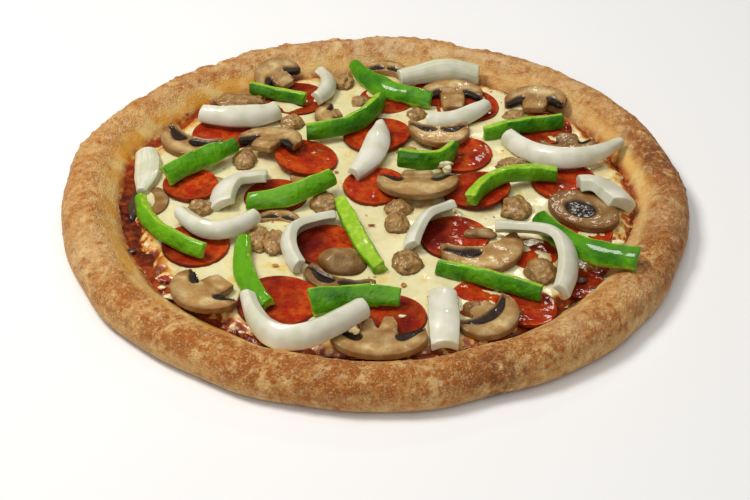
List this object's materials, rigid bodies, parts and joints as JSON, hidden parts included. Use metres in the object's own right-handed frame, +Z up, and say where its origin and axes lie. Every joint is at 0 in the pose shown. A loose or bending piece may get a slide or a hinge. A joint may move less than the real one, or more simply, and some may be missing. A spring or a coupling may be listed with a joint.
{
  "type": "pizza",
  "caption": "Whole uncut pizza with a raised baked crust, sauce, melted cheese, sausage crumbles, pepperoni, mushroom slices, green pepper strips and onion strips.",
  "frame": {"origin": "middle of the pizza's bounding box in plan, on the surface that its underside rests on", "axes": "+Z up, out of the toppings; -Y towards the front edge as the picture shows it, +X to its right"},
  "size_m": [0.3514, 0.3414, 0.0313],
  "materials": {
    "crust": "baked dough, matte",
    "sauce": "tomato sauce, moist",
    "cheese": "melted cheese, soft sheen",
    "mushroom": "cooked mushroom, moist",
    "onion": "cooked onion, glossy",
    "pepper": "green pepper, glossy skin",
    "pepperoni": "cured sausage slice, oily"
  },
  "bodies": {
    "root": {"crust": "crust", "sauce": "sauce", "cheese": "cheese", "mushroom_01": "mushroom", "mushroom_02": "mushroom", "mushroom_03": "mushroom", "mushroom_04": "mushroom", "mushroom_05": "mushroom", "mushroom_06": "mushroom", "mushroom_07": "mushroom", "mushroom_08": "mushroom", "mushroom_09": "mushroom", "mushroom_10": "mushroom", "mushroom_11": "mushroom", "mushroom_12": "mushroom", "mushroom_13": "mushroom", "mushroom_14": "mushroom", "mushroom_15": "mushroom", "onion_01": "onion", "onion_02": "onion", "onion_03": "onion", "onion_04": "onion", "onion_05": "onion", "onion_06": "onion", "onion_07": "onion", "onion_08": "onion", "onion_09": "onion", "onion_10": "onion", "onion_11": "onion", "onion_12": "onion", "onion_13": "onion", "onion_14": "onion", "onion_15": "onion", "pepper_01": "pepper", "pepper_02": "pepper", "pepper_03": "pepper", "pepper_04": "pepper", "pepper_05": "pepper", "pepper_06": "pepper", "pepper_07": "pepper", "pepper_08": "pepper", "pepper_09": "pepper", "pepper_10": "pepper", "pepper_11": "pepper", "pepper_12": "pepper", "pepper_13": "pepper", "pepper_14": "pepper", "pepperoni_01": "pepperoni", "pepperoni_02": "pepperoni", "pepperoni_03": "pepperoni", "pepperoni_04": "pepperoni", "pepperoni_05": "pepperoni", "pepperoni_06": "pepperoni", "pepperoni_07": "pepperoni", "pepperoni_08": "pepperoni", "pepperoni_09": "pepperoni", "pepperoni_10": "pepperoni", "pepperoni_11": "pepperoni", "pepperoni_12": "pepperoni", "pepperoni_13": "pepperoni"}
  },
  "joints": []
}
